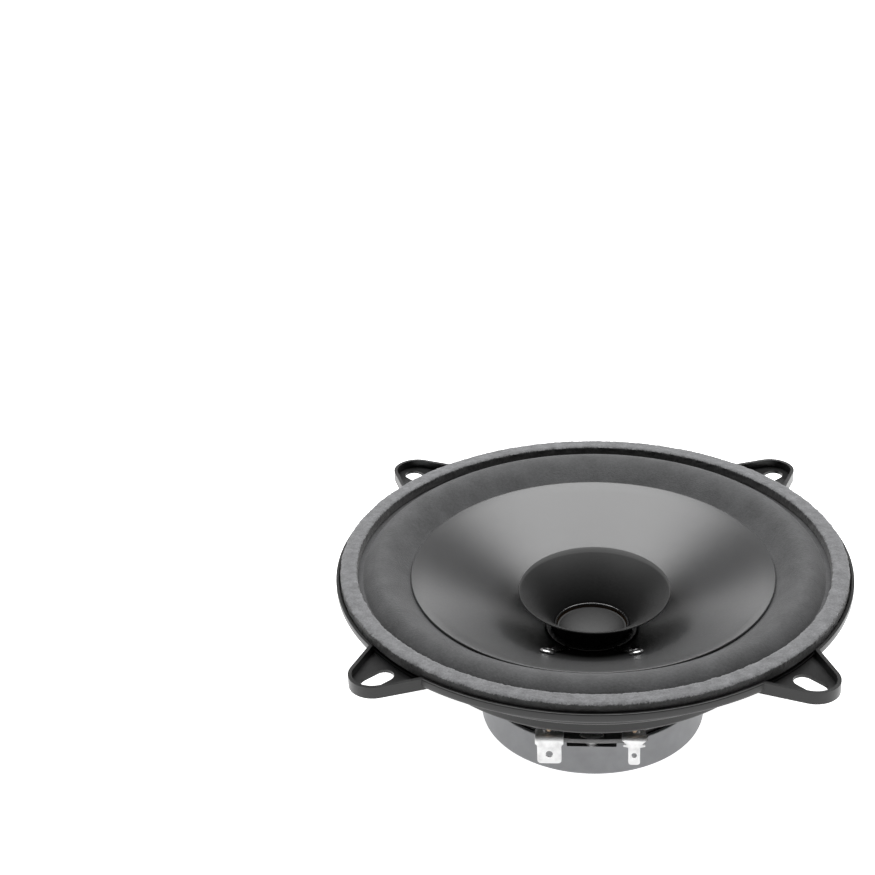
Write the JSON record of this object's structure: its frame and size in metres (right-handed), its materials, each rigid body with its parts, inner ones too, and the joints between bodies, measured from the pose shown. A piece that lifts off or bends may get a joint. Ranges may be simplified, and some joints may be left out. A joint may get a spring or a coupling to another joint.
{
  "type": "car loudspeaker",
  "caption": "Round dual-cone car loudspeaker: pressed frame with slotted corner ears, felt gasket, foam surround, grey cone, black whizzer cone, dust cap, magnet with cover and blade terminals",
  "frame": {"origin": "middle of the magnet cover's rear face, which the speaker stands on", "axes": "+Z along the cone's axis towards the listener, +X to the right and +Y away from the terminals when the speaker is seen from its terminal side, standing on its magnet"},
  "size_m": [0.13, 0.13, 0.047],
  "materials": {
    "frame_paint": "satin black paint on pressed steel",
    "gasket_felt": "fuzzy grey felt",
    "magnet_cover": "smooth blue-grey",
    "motor_steel": "dark plated",
    "ferrite": "matt dark grey",
    "terminal_board": "grey fibre board",
    "tin_plate": "bright tin plate",
    "cone": "coated grey pulp with a satin sheen",
    "black_paper": "matt black pulp",
    "dust_cap": "black cloth",
    "coil_former": "amber film",
    "copper_winding": "enamelled copper wire",
    "black_glue": "glossy black glue",
    "eyelet": "blackened",
    "surround_foam": "fine-grained dark foam",
    "spider_cloth": "resin-treated woven cloth",
    "lead_braid": "tinsel braid"
  },
  "bodies": {
    "frame": {"basket": "frame_paint", "gasket_ring": "gasket_felt", "magnet_cover": "magnet_cover", "yoke_with_pole": "motor_steel", "ring_magnet": "ferrite", "top_plate": "motor_steel", "plate_rivet_1": "motor_steel", "plate_rivet_2": "motor_steel", "plate_rivet_3": "motor_steel", "plate_rivet_4": "motor_steel", "terminal_board": "terminal_board", "board_rivet": "tin_plate", "positive_tab": "tin_plate", "positive_tab_rivet": "tin_plate", "negative_tab": "tin_plate", "negative_tab_rivet": "tin_plate", "surround": "surround_foam", "spider": "spider_cloth", "positive_lead": "lead_braid", "negative_lead": "lead_braid"},
    "cone_assembly": {"cone": "cone", "whizzer_cone": "black_paper", "dust_cap": "dust_cap", "voice_coil_former": "coil_former", "voice_coil_winding": "copper_winding", "neck_glue": "black_glue", "positive_lead_eyelet": "eyelet", "positive_lead_glue": "black_glue", "negative_lead_eyelet": "eyelet", "negative_lead_glue": "black_glue"}
  },
  "joints": [
    {"name": "cone_travel", "type": "slide", "parent": "frame", "child": "cone_assembly", "axis": [0, 0, 1], "range_m": [-0.003, 0.003], "stiffness_N_per_m": 2000, "deforming": ["surround", "spider", "positive_lead", "negative_lead"]}
  ]
}
